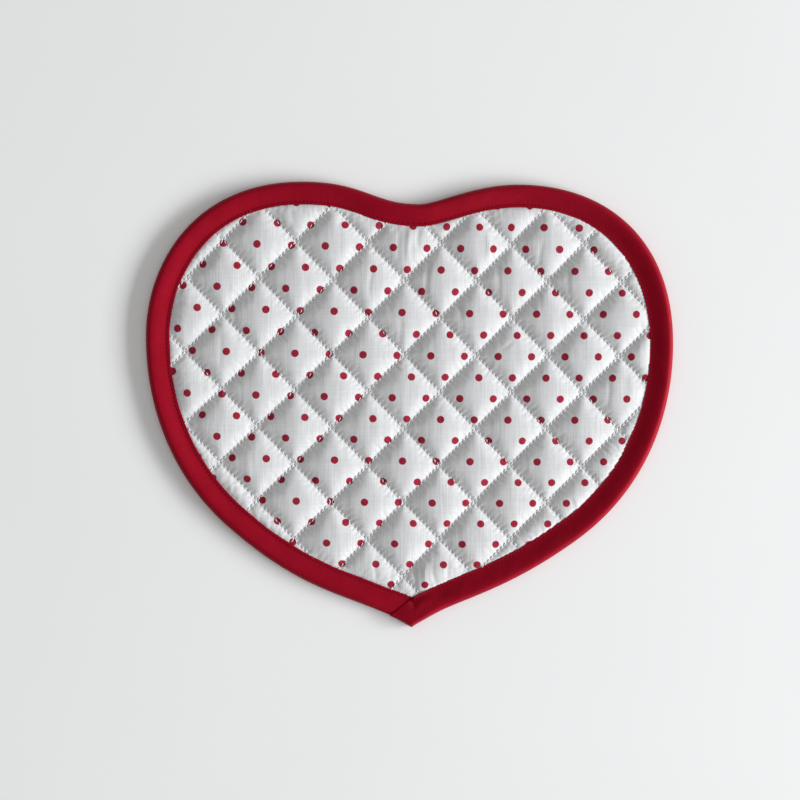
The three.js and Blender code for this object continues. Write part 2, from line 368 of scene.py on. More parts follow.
def cut_grid(steps, name):
    """A flat grid along the rows of quilting, cut to the edge of the panel.

    Gives the mesh, its points, their row places, how far inside the edge they lie and the width
    of the tape nearest to each.
    """
    bm = bmesh.new()
    bmesh.ops.create_grid(bm, x_segments=CELLS * steps, y_segments=CELLS * steps, size=0.5)
    mesh = mesh_of(bm, name)
    unit = points_of(mesh)
    rising = np.round((unit[:, 0] + 0.5) * CELLS * steps) / steps
    falling = np.round((unit[:, 1] + 0.5) * CELLS * steps) / steps
    x, y = row_crossing(rising, falling)
    inset, _, _ = inset_of(x, y)
    set_points(mesh, np.stack([x, y, inset], 1))
    bm = bmesh.new()
    bm.from_mesh(mesh)
    place = [bm.verts.layers.float.new(n) for n in ("rising", "falling")]
    for vert, a, b in zip(bm.verts, rising, falling):
        vert[place[0]], vert[place[1]] = a, b
    middle_inset = lambda face: sum(v.co.z for v in face.verts) / len(face.verts)
    outside = [f for f in bm.faces if middle_inset(f) < MARGIN_INSET]
    bmesh.ops.delete(bm, geom=outside, context="FACES")
    bm.to_mesh(mesh)
    rising = np.array([v[place[0]] for v in bm.verts])
    falling = np.array([v[place[1]] for v in bm.verts])
    rim = np.array([v.is_boundary for v in bm.verts])
    bm.free()
    points = points_of(mesh)
    inset, strip, nearest = inset_of(points[:, 0], points[:, 1])
    inward = EDGE_IN[nearest] / np.linalg.norm(EDGE_IN[nearest], axis=1)[:, None]
    points[:, :2] += np.where(rim, MARGIN_INSET - inset, 0)[:, None] * inward
    inset = np.where(rim, MARGIN_INSET, inset)
    return mesh, points, rising, falling, inset, strip


def hump(place):
    part = place % 1
    return (4 * part * (1 - part)) ** PUFF_FULLNESS


def sewn_heights(rising, falling, inset, strip):
    """Height of the rows at each point of the printed face, and of the filling above them."""
    spread = np.sin(SPREAD_RISING * np.floor(rising) + SPREAD_FALLING * np.floor(falling))
    ease = smooth(inset - strip, 0, RIM_EASE)
    seam = RIM_TOP + (SEAM_TOP - RIM_TOP) * ease
    puff = PUFF * (1 + PUFF_SPREAD * spread) * hump(rising) * hump(falling)
    return seam, puff * (RIM_PUFF + (1 - RIM_PUFF) * ease)


def swell(mesh, points, held):
    """Cloth simulation: the filling pushes the face up between the rows that hold it."""
    set_points(mesh, points * MM * SIM_SCALE)
    cloth_piece = bpy.data.objects.new("swelling_face", mesh)
    bpy.context.scene.collection.objects.link(cloth_piece)
    group = cloth_piece.vertex_groups.new(name="sewn")
    for strength in np.unique(held[held > 0]):
        group.add([int(k) for k in np.where(held == strength)[0]], float(strength), "REPLACE")
    modifier = cloth_piece.modifiers.new("cloth", "CLOTH")
    cloth = modifier.settings
    cloth.quality = 5
    cloth.mass = 0.3
    cloth.tension_stiffness = cloth.compression_stiffness = 15
    cloth.shear_stiffness = 5
    cloth.bending_stiffness = 1.0
    cloth.use_pressure = True
    cloth.uniform_pressure_force = 6
    cloth.effector_weights.gravity = 0
    cloth.shrink_min = -0.012
    cloth.vertex_group_mass = "sewn"
    modifier.collision_settings.use_collision = False
    modifier.point_cache.frame_start = 1
    modifier.point_cache.frame_end = SIM_FRAMES
    for number in range(1, SIM_FRAMES + 1):
        bpy.context.scene.frame_set(number)
    evaluated = cloth_piece.evaluated_get(bpy.context.evaluated_depsgraph_get())
    swollen = points_of(evaluated.data) / MM / SIM_SCALE
    bpy.data.objects.remove(cloth_piece)
    bpy.context.scene.frame_set(1)
    move = swollen - points
    move[:, :2] = np.clip(move[:, :2], -MOST_SHIFT, MOST_SHIFT)
    move[:, 2] = np.clip(move[:, 2], -MOST_RISE, MOST_RISE)
    return points + move


def crease_heights(points):
    lift = np.zeros(len(points))
    for crease in CREASES:
        run = direction(crease.heading)
        off = points[:, :2] - [crease.x, crease.y]
        along = off @ run / (crease.length / 2)
        wander = CREASE_WANDER * np.sin(WANDER_TURN * along + crease.x)
        across = (off @ np.array([-run[1], run[0]]) + wander) / (crease.width / 2)
        lift += crease.height * np.exp(-(across**2)) * np.clip(1 - np.abs(along) ** 3, 0, 1)
    return lift


def pleat_heights(rising, falling):
    """Small pleats that the stitches draw up beside each row.

    They dip at the holes, and the two sides of a row are out of step.
    """
    lift = np.zeros(len(rising))
    for place, along in ((rising, falling), (falling, rising)):
        far = (place - np.round(place)) * STITCH_PITCH * STITCHES_PER_CELL
        turn = TURN * STITCHES_PER_CELL * along + PLEAT_TURN * np.sign(np.round(far, 2))
        beside = np.exp(-(((np.abs(far) - PLEAT_REACH) / PLEAT_REACH) ** 2))
        lift -= PLEAT_HEIGHT * np.cos(turn) * beside
    return lift


def printed_face():
    """The face: sewn down, swollen by the filling, then creased, streaked and pleated."""
    mesh, points, rising, falling, inset, strip = cut_grid(FACE_STEPS, "printed_face")
    seam, puff = sewn_heights(rising, falling, inset, strip)
    on_rising, on_falling = on_row(rising, 1), on_row(falling, 1)
    hole_on_rising = on_rising & on_row(falling, STITCHES_PER_CELL)
    hole_on_falling = on_falling & on_row(rising, STITCHES_PER_CELL)
    hole = hole_on_rising | hole_on_falling
    under_thread = (on_rising | on_falling) & ~hole
    pressed = inset < strip + PRESSED_PAST_TAPE
    points[:, 2] = seam + puff * SEWN_SHARE - HOLE_DEPTH * hole
    points[pressed, 2] = MARGIN_TOP
    points[:, 2] += np.where(hole | under_thread | pressed, 0, cloud(points, RIPPLE))
    held = np.where(hole | pressed, 1.0, np.where(under_thread, THREAD_HOLD, 0.0))
    points = swell(mesh, points, held)
    free = smooth(inset - strip, *FREE_PAST_TAPE)
    off_row = lambda place: np.abs(place - np.round(place))
    near_row = np.minimum(off_row(rising), off_row(falling))
    points[:, 2] += crease_heights(points) * free * smooth(near_row, 0.0, CREASE_CLEARS_ROW)
    streak = sum(cloud(points, form) for form in STREAKS)
    points[:, 2] += streak * free * smooth(near_row, 0.0, STREAK_CLEARS_ROW)
    points[:, 2] += pleat_heights(rising, falling) * free
    points[:, 2] = np.maximum(points[:, 2], np.where(pressed, MARGIN_TOP, LEAST_TOP))
    set_points(mesh, points)
    return mesh


def plain_back():
    """The back: flat on what it lies on, with shallow grooves under the rows."""
    mesh, points, rising, falling, inset, strip = cut_grid(BACK_STEPS, "plain_back")
    flat = np.minimum(1, GROOVE_FULLNESS * hump(rising) * hump(falling))
    groove = GROOVE_DEPTH * (1 - flat)
    past_tape = smooth(inset - strip, *BACK_PAST_TAPE)
    points[:, 2] = MARGIN_BOTTOM + (groove - MARGIN_BOTTOM) * past_tape
    set_points(mesh, points)
    return mesh


def quilted_panel(material):
    face, back = printed_face(), plain_back()
    bm = bmesh.new()
    bm.from_mesh(face)
    bm.from_mesh(back)
    rims = [e for e in bm.edges if e.is_boundary]
    bmesh.ops.bridge_loops(bm, edges=rims)
    bmesh.ops.recalc_face_normals(bm, faces=bm.faces)
    mesh = mesh_of(bm, "quilted_panel")
    points = points_of(mesh)
    set_points(mesh, points * MM)
    add_map(mesh, "print", *dot_lattice(points[:, :2]))
    return piece_of(mesh, "quilted_cloth", material)


# ---------------------------------------------------------------- the printed dots

# Lattice of the print: i counts the dots along a row and j the rows down the mat. Each place has
# a straight part and a small bend from the cloth being drawn up by the quilting, both in
# millimetres. The bend is reckoned from an even lattice, in half widths of the mat.
LATTICE_START = (-5.395, 60.35)
LATTICE_ALONG = (22.398, -0.304)
LATTICE_DOWN = (-12.72, -13.816)
EVEN_START = (-5.3, 61.5)
EVEN_ALONG = (22.4, -0.33)
EVEN_DOWN = (-12.7, -13.85)
HALF_WIDTH = 175
BEND_ACROSS = (-2.013, 0.068, 3.685)
BEND_DOWN = (1.904, -1.303, 4.448)
LATTICE_ROUNDS = 8
# Where the sewing of the tape has drawn the print aside: middle, the way back to where the print
# lay before, and the reach
PRINT_DRAWN = [((-64.7, 132.4), (1.0, 1.3), 15), ((84.0, 124.0), (2.5, -0.2), 30)]
DOT_RADIUS = 2.47
DOT_BLEED = (-0.18, 0.26)


def lattice_place(i, j):
    """x and y of a place of the lattice, which may lie between two dots."""
    u, v = ((EVEN_ALONG[k] * i + EVEN_DOWN[k] * j + EVEN_START[k]) / HALF_WIDTH for k in (0, 1))
    return [LATTICE_START[k] + LATTICE_ALONG[k] * i + LATTICE_DOWN[k] * j
            + (bend[0] * u * u + bend[1] * u * v + bend[2] * v * v)
            for k, bend in enumerate((BEND_ACROSS, BEND_DOWN))]


def dot_lattice(places):
    """Lattice numbers of points of the mat, which are whole at the middle of each dot."""
    back = np.linalg.inv(np.array([LATTICE_ALONG, LATTICE_DOWN]).T)
    x, y = drawn(places, PRINT_DRAWN).T
    i, j = np.zeros(len(x)), np.zeros(len(x))
    for _ in range(LATTICE_ROUNDS):
        at_x, at_y = lattice_place(i, j)
        off_x, off_y = x - at_x, y - at_y
        i = i + back[0, 0] * off_x + back[0, 1] * off_y
        j = j + back[1, 0] * off_x + back[1, 1] * off_y
    return i, j


# ---------------------------------------------------------------- the binding

# Outside of the folded tape, from its upper turned edge over the top, round the finished edge and
# along the underside: inset for a tape 15 mm wide, and height
OUTER = np.array([
    (15.05, 2.98), (15.20, 3.05), (15.26, 3.16), (15.20, 3.28), (15.00, 3.37), (14.60, 3.42),
    (14.15, 3.42), (13.75, 3.38), (13.40, 3.34), (13.05, 3.40), (12.60, 3.50), (11.90, 3.67),
    (11.00, 3.95), (9.90, 4.34), (8.70, 4.78), (7.50, 5.20), (6.30, 5.58), (5.10, 5.90),
    (4.00, 6.12), (3.00, 6.19), (2.15, 6.00), (1.45, 5.52), (0.85, 4.86), (0.38, 4.06),
    (0.10, 3.15), (0.00, 2.25), (0.10, 1.52), (0.38, 0.94), (0.82, 0.46), (1.40, 0.14),
    (2.10, 0.00), (4.50, 0.00), (8.00, 0.00), (11.60, 0.00), (12.60, 0.10), (13.10, 0.36),
    (13.40, 0.44), (13.70, 0.36), (14.20, 0.12), (14.80, 0.10), (15.15, 0.26), (15.25, 0.50),
    (15.05, 0.80),
])
# Inside of it, back from the lower turned edge to the upper one
INNER = np.array([
    (14.60, 0.88), (12.00, 0.88), (9.00, 0.88), (6.00, 0.88), (3.20, 0.92), (2.20, 1.15),
    (1.70, 1.60), (1.60, 2.05), (1.75, 2.50), (2.20, 2.90), (3.20, 3.02), (6.00, 3.06),
    (9.00, 3.06), (12.00, 3.06), (14.60, 2.98),
])
TAPE_WIDTH = 15
TAPE_RUN = len(EDGE_AT) * RIB_SPACING
STITCH_INSET = 13.4
TAPE_STITCH = 3.0

# The end of the tape laps over its own start at the tip, with its end turned under from here to
# the inner corner
FOLD_FOOT = np.array([-12.8, -139.6])
FOLD_GAP = 0.4
FAN_START = 0.7
FIRST_RIB = 6
NEAR_TIP = len(EDGE_AT) // 4
TIP_CORNER = EDGE_AT[0] + EDGE_IN[0] * EDGE_STRIP[0]
# How the sewing has drawn the tape at its inner corner and at the tip itself
TIP_PULLS = [(TIP_CORNER, (1.5, 0.3), 12), ((TIP.x, TIP.y), (-1.4, -0.2), 9)]
# The lapped end stands off the start that it covers, and leans as the right arm does. It grows to
# this between LAP_BEFORE and LAP_FULL before the end of the tape. The pairs are the heights and
# insets of the section between which it takes hold.
LAP_BEFORE = 26
LAP_FULL = 4
LAP_RISE = 0.7
RISE_HEIGHTS = (0.6, 4.0)
LAP_OUT = 0.45
OUTER_PART = 8
LAP_TOP = 6.3
LAP_LEAN = 0.17
LEAN_FROM = 3
LEAN_HEIGHTS = (3.0, 4.0)
LEAN_INSETS = (0.4, 2.4)
LEAN_BEFORE_STITCHES = (0, 5)
# The start is pressed smaller inside it, and grows to its full size between these two
START_GROWS = (16, 40)
START_TOP = 4.3
START_PRESSED = 0.9
START_LIFT = 0.55
LIFT_HEIGHTS = (0, 1.0)
# Unevenness of the tape, which shows above these heights and fades before the turned edge: its
# broad swell, the drag of the cloth on the slant, the wander of its turned edges, and the
# puckers at the stitches and beside them as inset, width and depth
SHOWN_HEIGHTS = (3.2, 4.2)
TURNED_EDGE = 14.6
FADE_BEFORE_EDGE = (0, 3)
WANDER_INSETS = (12.5, 15)
TAPE_SWELL = Cloud(19, 9, 3, 0.22)
TAPE_DRAG = Cloud(7.5, 6, 17, 0.10)
DRAG_SLANT = (0.9, 0.6)
EDGE_WANDER = 0.45
EDGE_WANDER_TURN = 0.045
EDGE_WANDER_SEED = 3.1
EDGE_PUCKER = 0.10
PUCKERS = [(STITCH_INSET, 0.9, 0.16), (11.9, 1.4, 0.07)]


def tape_ribs():
    """Ribs of the tape, from its hidden start at the tip clockwise to its folded end over it.

    Gives where each starts, its way in, the width of the tape and how far along the tape it is.
    """
    fold = np.linalg.norm(FOLD_FOOT - EDGE_AT[0])
    beyond = np.linalg.norm(EDGE_AT - EDGE_AT[0], axis=1)
    ribs = []
    for k in range(FIRST_RIB, len(EDGE_AT)):
        turned = 1 - smooth(beyond[k], FAN_START * fold, MITRE_REACH) if k < NEAR_TIP else 0.0
        way = EDGE_IN[k] * EDGE_STRIP[k] * (1 - turned) + (TIP_CORNER - EDGE_AT[k]) * turned
        ribs.append((EDGE_AT[k], way, EDGE_STRIP[k], k * RIB_SPACING))
    for k in range(NEAR_TIP):
        if beyond[k] < fold - FOLD_GAP * RIB_SPACING:
            run = (len(EDGE_AT) + k) * RIB_SPACING
            ribs.append((EDGE_AT[k], TIP_CORNER - EDGE_AT[k], EDGE_STRIP[0], run))
    run = ribs[-1][-1] + RIB_SPACING
    ribs.append((FOLD_FOOT, TIP_CORNER - FOLD_FOOT, EDGE_STRIP[0], run))
    return [np.array(column) for column in zip(*ribs)]


def lapped(inset, height, along, is_inner, places, ways):
    """Inset and height of the section where the end of the tape lies over its start."""
    lap = smooth(along, TAPE_RUN - LAP_BEFORE, TAPE_RUN - LAP_FULL)
    start = 1 - smooth(along, *START_GROWS)
    # how far each point lies from the outer edge of the right arm
    arm = direction(TIP.into)
    place = places + ways / TAPE_WIDTH * inset[:, None]
    from_arm = (place - [TIP.x, TIP.y]) @ [arm[1], -arm[0]]
    top = smooth(height, *RISE_HEIGHTS)
    over = np.where(is_inner, 0, smooth(height, *LEAN_HEIGHTS)) * smooth(inset, *LEAN_INSETS)
    over = over * smooth(STITCH_INSET - inset, *LEAN_BEFORE_STITCHES)
    outward = LAP_OUT * lap * np.clip(1 - inset / OUTER_PART, 0, 1)
    height = height + (LAP_TOP - LAP_LEAN * (from_arm - LEAN_FROM) - height) * lap * over
    height = height + LAP_RISE * lap * top
    height = height - START_PRESSED * start * np.maximum(height - START_TOP, 0)
    height = height + START_LIFT * start * (1 - smooth(height, *LIFT_HEIGHTS))
    return inset - outward, height


def softened(inset, height, along, is_inner):
    """Inset and height with the unevenness of the tape, which shows on its outside alone."""
    slanted = along + DRAG_SLANT[0] * inset
    face = cloud(np.stack([along, inset, 0 * along], 1), TAPE_SWELL)
    face += cloud(np.stack([slanted, DRAG_SLANT[1] * inset, 0 * along], 1), TAPE_DRAG)
    shown = np.where(is_inner, 0, smooth(height, *SHOWN_HEIGHTS))
    height = height + face * shown * smooth(TURNED_EDGE - inset, *FADE_BEFORE_EDGE)
    stitch = np.cos(TURN * along / TAPE_STITCH)
    pucker = sum(np.exp(-((inset - at) / width) ** 2) * depth for at, width, depth in PUCKERS)
    height = height - stitch * pucker * shown
    wander = EDGE_WANDER * np.array([
        noise.noise((a * EDGE_WANDER_TURN, EDGE_WANDER_SEED, 0)) for a in along])
    edge = smooth(inset, *WANDER_INSETS) * np.where(is_inner, 0, 1)
    return inset + (wander + EDGE_PUCKER * stitch) * edge, height


def binding(material):
    places, ways, strips, run = tape_ribs()
    section = np.concatenate([OUTER, INNER])
    ribs, around = len(places), len(section)
    bm = bmesh.new()
    bmesh.ops.create_grid(bm, x_segments=ribs - 1, y_segments=around, size=0.5)
    mesh = mesh_of(bm, "binding")
    unit = points_of(mesh)
    rib = np.round((unit[:, 0] + 0.5) * (ribs - 1)).astype(int)
    corner = np.round((unit[:, 1] + 0.5) * around).astype(int) % around
    along, is_inner = run[rib], corner >= len(OUTER)
    inset, height = section[corner].T
    inset, height = lapped(inset, height, along, is_inner, places[rib], ways[rib])
    inset, height = softened(inset, height, along, is_inner)
    place = drawn(places[rib] + ways[rib] / TAPE_WIDTH * inset[:, None], TIP_PULLS)
    set_points(mesh, np.column_stack([place, np.maximum(height, 0)]) * MM)
    add_map(mesh, "tape", along, inset * strips[rib] / TAPE_WIDTH)
    bm = bmesh.new()
    bm.from_mesh(mesh)
    bpy.data.meshes.remove(mesh)
    bmesh.ops.remove_doubles(bm, verts=bm.verts, dist=1e-7)
    open_ends = [e for e in bm.edges if e.is_boundary]
    bmesh.ops.holes_fill(bm, edges=open_ends, sides=0)
    ends = [f for f in bm.faces if len(f.verts) > 4]
    bmesh.ops.triangulate(bm, faces=ends)
    bmesh.ops.recalc_face_normals(bm, faces=bm.faces)
    return piece_of(mesh_of(bm, "binding"), "folded_tape", material)


# ---------------------------------------------------------------- the sewing

Stitch = namedtuple("Stitch", "start end arch")
SHAPE_GAP = 4
THREAD_SIDES = 6
PROBE_HEIGHT = 50 * MM
THREAD_SLANT = math.radians(16)
THREAD_LENGTH = 0.86
THREAD_ARCH = 0.25
# how far the thread clears the cloth that bulges up between its holes, which is more in the
# rising rows, where it also lies to the upper left of its row
THREAD_SLACK = 0.12
RISING_SLACK = 0.3
RISING_SET = 0.3
# how far the rows run on under the tape
UNDER_TAPE = 1.5
# the topstitching, whose holes lie at these parts of each stitch
TAPE_THREAD_ARCH = 0.12
TAPE_THREAD_ENDS = (0.10, 0.90)


def repeat_shape(bm, count):
    """Turns the one shape in bm into count of them, in a line along X that is SHAPE_GAP apart."""
    made = 1
    while made < count:
        copies = bmesh.ops.duplicate(bm, geom=bm.verts[:] + bm.edges[:] + bm.faces[:])["geom"]
        moved = [part for part in copies if isinstance(part, bmesh.types.BMVert)]
        bmesh.ops.translate(bm, verts=moved, vec=(made * SHAPE_GAP, 0, 0))
        made *= 2
    spare = [v for v in bm.verts if v.co.x > (count - 0.5) * SHAPE_GAP]
    bmesh.ops.delete(bm, geom=spare, context="VERTS")


def thread(stitches, name, thickness, material):
    """One mesh of stitches, each a plump length of thread from one hole to the next."""
    bm = bmesh.new()
    bm.loops.layers.uv.new("wound")
    bmesh.ops.create_uvsphere(
        bm, u_segments=THREAD_SIDES, v_segments=THREAD_SIDES, radius=1, calc_uvs=True)
    repeat_shape(bm, len(stitches))
    mesh = mesh_of(bm, name)
    unit = points_of(mesh)
    which = np.round(unit[:, 0] / SHAPE_GAP).astype(int)
    start, end = (np.array([s[k] for s in stitches])[which] for k in (0, 1))
    arch = np.array([s.arch for s in stitches])[which]
    run = end - start
    along = run / np.linalg.norm(run, axis=1, keepdims=True)
    side = np.cross([0, 0, 1], along)
    side /= np.linalg.norm(side, axis=1, keepdims=True)
    over = np.cross(along, side)
    ends = unit[:, 2:]
    points = (start + end) / 2 + run / 2 * ends + over * arch[:, None] * (1 - ends**2)
    radius = thickness / 2 * np.sqrt(1 + ends**2)
    points += (side * (unit[:, :1] - which[:, None] * SHAPE_GAP) + over * unit[:, 1:2]) * radius
    set_points(mesh, points * MM)
    return piece_of(mesh, name, material)


def surface_of(piece):
    bm = bmesh.new()
    bm.from_mesh(piece.data)
    tree = BVHTree.FromBMesh(bm)
    bm.free()
    return tree


def height_on(tree, x, y, from_above):
    """Height of a surface at x and y, in millimetres, or None where there is none."""
    up = 1 if from_above else -1
    hit = tree.ray_cast(Vector((x * MM, y * MM, up * PROBE_HEIGHT)), Vector((0, 0, -up)))[0]
    return None if hit is None else hit.z / MM


def slanted(hole, next_hole, rising_row, from_above):
    """Start, middle and end of a stitch, which lies aslant the line between its holes."""
    middle, half = (hole + next_hole) / 2, (next_hole - hole) * THREAD_LENGTH / 2
    half.rotate(Matrix.Rotation(THREAD_SLANT if rising_row else -THREAD_SLANT, 2))
    if rising_row and from_above:
        middle += Vector((-HALF_SQUARE, HALF_SQUARE)) * RISING_SET
    return middle - half, middle, middle + half


def quilting_stitches(panel, material, from_above, name, thickness):
    """Stitches along each row of quilting, from hole to hole, up to the edge of the tape."""
    tree = surface_of(panel)
    side = 1 if from_above else -1
    steps = np.arange(CELLS * STITCHES_PER_CELL + 1) / STITCHES_PER_CELL
    stitches = []
    for row in range(1, CELLS):
        for rising_row in (True, False):
            slack = RISING_SLACK if rising_row and from_above else THREAD_SLACK
            here = np.full(len(steps), float(row))
            x, y = row_crossing(here, steps) if rising_row else row_crossing(steps, here)
            inset, strip, _ = inset_of(x, y)
            holes = [Vector(place) for place in zip(x, y)]
            shown = inset - strip >= -UNDER_TAPE
            for k in range(len(steps) - 1):
                if not (shown[k] and shown[k + 1]):
                    continue
                a, middle, b = slanted(holes[k], holes[k + 1], rising_row, from_above)
                low, top, high = (height_on(tree, *p, from_above) for p in (a, middle, b))
                if None in (low, top, high):
                    continue
                arch = max(THREAD_ARCH, side * (top - (low + high) / 2) + slack)
                stitches.append(Stitch((*a, low), (*b, high), side * arch))
    return thread(stitches, name, thickness, material)


def tape_stitches(tape, material, from_above, name, thickness):
    """Topstitching round the inner edge of the tape."""
    tree = surface_of(tape)
    side = 1 if from_above else -1
    stitches = []
    for k in range(int(TAPE_RUN / TAPE_STITCH)):
        ends = []
        for part in TAPE_THREAD_ENDS:
            place = (k + part) * TAPE_STITCH / RIB_SPACING
            low = int(place) % len(EDGE_AT)
            high = (low + 1) % len(EDGE_AT)
            t = place - int(place)
            at = EDGE_AT[low] * (1 - t) + EDGE_AT[high] * t
            way = EDGE_IN[low] * EDGE_STRIP[low] * (1 - t) + EDGE_IN[high] * EDGE_STRIP[high] * t
            x, y = drawn(at + way / TAPE_WIDTH * STITCH_INSET, TIP_PULLS)
            z = height_on(tree, x, y, from_above)
            ends.append(None if z is None else (x, y, z))
        if None not in ends:
            stitches.append(Stitch(*ends, side * TAPE_THREAD_ARCH))
    return thread(stitches, name, thickness, material)


# ---------------------------------------------------------------- materials


class Wiring:
    """Short words for adding and joining the nodes of one tree."""

    def __init__(self, tree):
        self.tree = tree

    def put(self, kind, **values):
        node = self.tree.nodes.new(kind)
        for key, value in values.items():
            setattr(node, key, value)
        return node

    def join(self, source, target):
        self.tree.links.new(source, target)

    def feed(self, sockets, *values):
        for socket, value in zip(sockets, values):
            if isinstance(value, bpy.types.NodeSocket):
                self.join(value, socket)
            else:
                socket.default_value = value

    def math(self, operation, *values):
        node = self.put("ShaderNodeMath", operation=operation)
        self.feed(node.inputs, *values)
        return node.outputs[0]

    def scaled(self, vector, scale):
        node = self.put("ShaderNodeVectorMath", operation="SCALE")
        self.feed((node.inputs[0], node.inputs["Scale"]), vector, scale)
        return node.outputs[0]

    def length(self, vector):
        node = self.put("ShaderNodeVectorMath", operation="LENGTH")
        self.feed(node.inputs, vector)
        return node.outputs["Value"]

    def noise(self, vector, scale, detail=2.0, roughness=0.5):
        node = self.put("ShaderNodeTexNoise")
        sockets = [node.inputs[name] for name in ("Vector", "Scale", "Detail", "Roughness")]
        self.feed(sockets, vector, scale, detail, roughness)
        return node.outputs["Fac"]

    def mix(self, factor, a, b):
        """A colour between two, which are given as red, green and blue or as a socket."""
        colours = [(*c, 1) if isinstance(c, tuple) else c for c in (a, b)]
        node = self.put("ShaderNodeMix", data_type="RGBA")
        self.feed([node.inputs[name] for name in ("Factor", "A", "B")], factor, *colours)
        return node.outputs["Result"]

    def split(self, vector):
        node = self.put("ShaderNodeSeparateXYZ")
        self.feed(node.inputs, vector)
        return node.outputs

    def combine(self, x, y, z):
        node = self.put("ShaderNodeCombineXYZ")
        self.feed(node.inputs, x, y, z)
        return node.outputs[0]

    def scale_range(self, value, low, high, new_low, new_high, smoothly=False):
        shape = "SMOOTHSTEP" if smoothly else "LINEAR"
        node = self.put("ShaderNodeMapRange", interpolation_type=shape)
        self.feed(node.inputs, value, low, high, new_low, new_high)
        return node.outputs[0]

    def bump(self, shader, height, depth):
        node = self.put("ShaderNodeBump")
        node.inputs["Strength"].default_value = 1.0
        node.inputs["Distance"].default_value = depth
        self.join(height, node.inputs["Height"])
        self.join(node.outputs["Normal"], shader.inputs["Normal"])


# Colours as red, green and blue
WHITE = (0.74, 0.74, 0.755)
WHITE_SHADE = (0.64, 0.64, 0.65)
CRIMSON = (0.305, 0.003, 0.025)
RED = (0.272, 0.003, 0.014)
RED_SHADE = (0.215, 0.002, 0.010)
# The threads' colours, each with a darker copy that is painted shade in the grooves between the
# plies
WHITE_THREAD = (0.86, 0.86, 0.87)
WHITE_THREAD_PAINTED_SHADE = (0.70, 0.70, 0.72)
RED_THREAD = (0.19, 0.002, 0.009)
RED_THREAD_PAINTED_SHADE = (0.11, 0.001, 0.005)
# Light that passes through the dyed threads of the tape comes back red
RED_SHEEN = (1.0, 0.04, 0.09, 1)
PALE = (0.87, 0.875, 0.88)
PALER = (0.91, 0.91, 0.915)

# Depths of relief in metres
YARN_PITCH = 0.40 * MM
PANEL_WEAVE_DEPTH = 0.00009
TAPE_WEAVE_DEPTH = 0.00007
PLY_DEPTH = 0.00008
# The weave: how high its yarns and its crossings stand, and the thick and thin places of a yarn
YARN_HEIGHT = 0.35
CROSSING_HEIGHT = 0.3
SLUB_HEIGHT = 1.6
SLUB_ACROSS = 0.9
WARP_SLUB_ALONG = 0.035
WEFT_SLUB_ALONG = 0.03
WEFT_SLUB_SEED = 4.0
WEFT_SLUB_SHARE = 0.6
SLUB_SCALE = 0.42
# The ink lies above this height alone, and its edge is a little ragged
FACE_ABOVE = 1.5 * MM
RAGGED_SCALE = 900
RAGGED_REACH = 0.35
WEAR_SCALE = 55
FLOOR_GRAIN_SCALE = 6
# turns of the ply round a thread and along it
PLY_AROUND = 2
PLY_ALONG = 3


def plain_weave():
    """Woven cotton: height of its yarns, and a shade from their slubs. Place is in yarns."""
    group = bpy.data.node_groups.new("plain_weave", "ShaderNodeTree")
    new_socket = group.interface.new_socket
    new_socket("Place", in_out="INPUT", socket_type="NodeSocketVector")
    new_socket("Slub", in_out="INPUT", socket_type="NodeSocketFloat").default_value = 1.0
    new_socket("Height", in_out="OUTPUT", socket_type="NodeSocketFloat")
    new_socket("Shade", in_out="OUTPUT", socket_type="NodeSocketFloat")
    given, out = group.nodes.new("NodeGroupInput"), group.nodes.new("NodeGroupOutput")
    w = Wiring(group)
    x, y, _ = w.split(given.outputs["Place"])
    warp, weft = (w.math("SINE", w.math("MULTIPLY", value, math.pi)) for value in (x, y))
    yarns = w.math("ADD", w.math("ABSOLUTE", warp), w.math("ABSOLUTE", weft))
    crossings = w.math("MULTIPLY", warp, weft)
    woven = w.math("ADD", w.math("MULTIPLY", yarns, YARN_HEIGHT),
                   w.math("MULTIPLY", crossings, CROSSING_HEIGHT))

    def slub(across, up, seed):
        place = w.combine(w.math("MULTIPLY", x, across), w.math("MULTIPLY", y, up), seed)
        return w.math("SUBTRACT", w.noise(place, SLUB_SCALE, 3.0, 0.6), 0.5)

    warp_slub = slub(SLUB_ACROSS, WARP_SLUB_ALONG, 0.0)
    weft_slub = slub(WEFT_SLUB_ALONG, SLUB_ACROSS, WEFT_SLUB_SEED)
    uneven = w.math("ADD", warp_slub, w.math("MULTIPLY", weft_slub, WEFT_SLUB_SHARE))
    uneven = w.math("MULTIPLY", uneven, given.outputs["Slub"])
    height = w.math("ADD", woven, w.math("MULTIPLY", uneven, SLUB_HEIGHT))
    w.join(height, out.inputs["Height"])
    w.join(w.math("ADD", 0.5, uneven), out.inputs["Shade"])
    return group


def new_material(name, base):
    material = bpy.data.materials.new(name)
    material.use_nodes = True
    material.diffuse_color = (*base, 1)
    return material, Wiring(material.node_tree), material.node_tree.nodes["Principled BSDF"]


def add_weave(w, shader, weave, place, slub, depth):
    """Puts the relief of the weave on a material and gives its shade. place is in yarns."""
    node = w.put("ShaderNodeGroup", node_tree=weave)
    w.join(place, node.inputs["Place"])
    node.inputs["Slub"].default_value = slub
    w.bump(shader, node.outputs["Height"], depth)
    return node.outputs["Shade"]


def dot_distance(w, normal):
    """How far each point is from the middle of the nearest dot, measured on the cloth."""
    i, j, _ = w.split(w.put("ShaderNodeUVMap", uv_map="print").outputs[0])
    off_i, off_j = (w.math("SUBTRACT", value, w.math("ROUND", value)) for value in (i, j))
    dx, dy = (w.math("ADD", w.math("MULTIPLY", off_i, LATTICE_ALONG[k]),
                     w.math("MULTIPLY", off_j, LATTICE_DOWN[k])) for k in (0, 1))
    nx, ny, nz = w.split(normal)
    climb = w.math("ADD", w.math("MULTIPLY", dx, nx), w.math("MULTIPLY", dy, ny))
    climb = w.math("DIVIDE", climb, w.math("MAXIMUM", nz, 0.5))
    return w.length(w.combine(dx, dy, climb))


